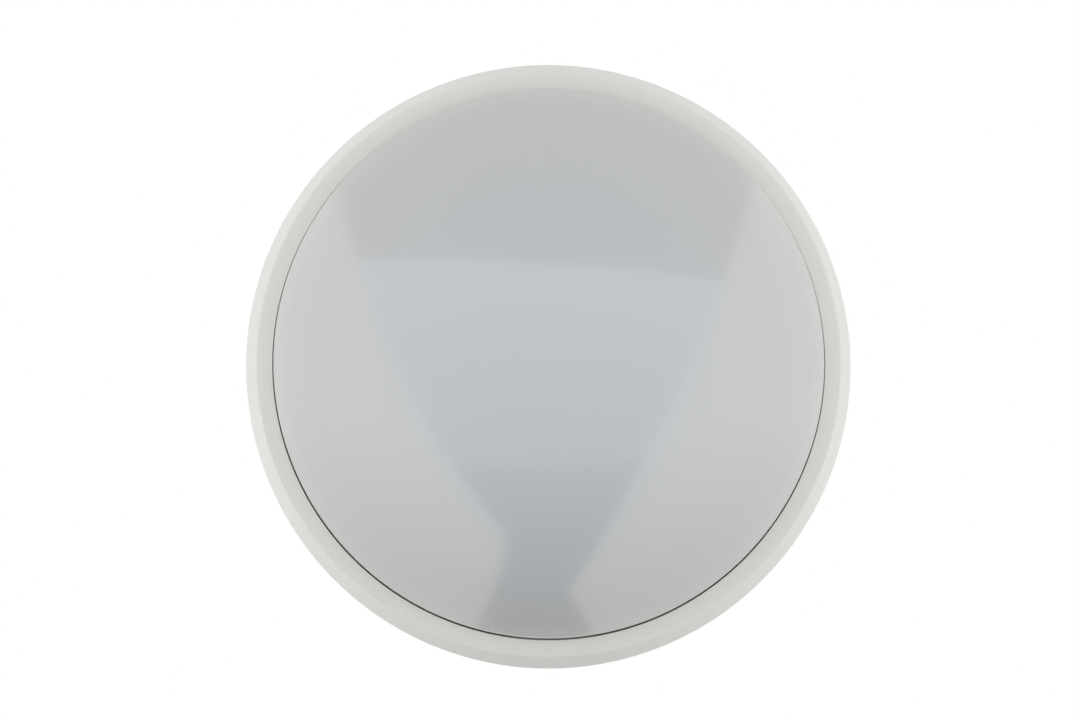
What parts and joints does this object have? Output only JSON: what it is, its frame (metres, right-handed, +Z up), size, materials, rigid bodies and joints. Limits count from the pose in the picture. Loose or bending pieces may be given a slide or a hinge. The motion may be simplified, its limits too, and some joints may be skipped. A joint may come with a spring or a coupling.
{
  "type": "outdoor wall light",
  "caption": "Round slim outdoor wall light: domed opal diffuser, twist-locked in a moulded base, inside a tapered clip-on trim ring; flat back with screw holes and a rear cable entry.",
  "frame": {"origin": "centre of the flat rear face, on the wall plane", "axes": "+Y points out of the rear face into the wall, the diffuser faces -Y, +Z is up as in the picture"},
  "size_m": [0.3, 0.067, 0.3],
  "materials": {
    "ring_plastic": "fine moulded satin, warm white",
    "base_plastic": "moulded satin, white",
    "opal": "glossy opal, cool white",
    "spring_steel": "bright rolled strip",
    "silicone": "translucent grey silicone",
    "black_rubber": "matt moulded rubber",
    "tray_paint": "white reflective powder coat",
    "board_mask": "white solder mask",
    "led_body": "white moulding",
    "phosphor": "yellow phosphor fill",
    "zinc_steel": "bright zinc plate",
    "connector_nylon": "natural nylon",
    "driver_plastic": "moulded, pale grey",
    "green_board": "green solder mask",
    "ferrite": "matt sintered ferrite",
    "winding_tape": "yellow polyester tape",
    "capacitor_sleeve": "dark shrink sleeve",
    "choke_coating": "green epoxy coat",
    "terminal_nylon": "white nylon",
    "plated_brass": "nickel-flashed brass",
    "brown_lead": "PVC sheath",
    "blue_lead": "PVC sheath",
    "earth_lead": "PVC sheath, green with a yellow stripe",
    "red_lead": "silicone sheath",
    "black_lead": "silicone sheath"
  },
  "bodies": {
    "base": {"base_pan": "base_plastic", "seal_gasket": "silicone", "fixing_seals": "black_rubber", "cable_grommet": "black_rubber", "gear_tray": "tray_paint", "tray_screws": "zinc_steel", "tray_washers": "zinc_steel", "led_board": "board_mask", "board_screws": "zinc_steel", "led_packages": "led_body", "led_phosphors": "phosphor", "lead_bush": "black_rubber", "board_connector": "connector_nylon", "driver_case": "driver_plastic", "driver_lid": "driver_plastic", "driver_board": "green_board", "driver_screws": "zinc_steel", "transformer_core": "ferrite", "transformer_winding": "winding_tape", "driver_capacitors": "capacitor_sleeve", "driver_choke": "choke_coating", "terminal_block": "terminal_nylon", "terminal_clamps": "plated_brass", "terminal_grubs": "zinc_steel", "terminal_screws": "zinc_steel", "neutral_lead": "blue_lead", "live_lead": "brown_lead", "earth_lead": "earth_lead", "led_negative_lead": "black_lead", "led_positive_lead": "red_lead", "earth_tag": "plated_brass", "earth_screw": "zinc_steel", "earth_nut": "zinc_steel"},
    "trim_ring_body": {"trim_ring": "ring_plastic", "trim_clips": "spring_steel"},
    "diffuser_body": {"diffuser": "opal"}
  },
  "joints": [
    {"name": "trim_ring_pull", "type": "slide", "parent": "base", "child": "trim_ring_body", "axis": [0, -1, 0], "range_m": [0, 0.06], "deforming": ["trim_clips"]},
    {"name": "diffuser_twist", "type": "hinge", "parent": "base", "child": "diffuser_body", "pos_m": [0, 0, 0], "axis": [0, -1, 0], "range_deg": [0, 28]}
  ]
}
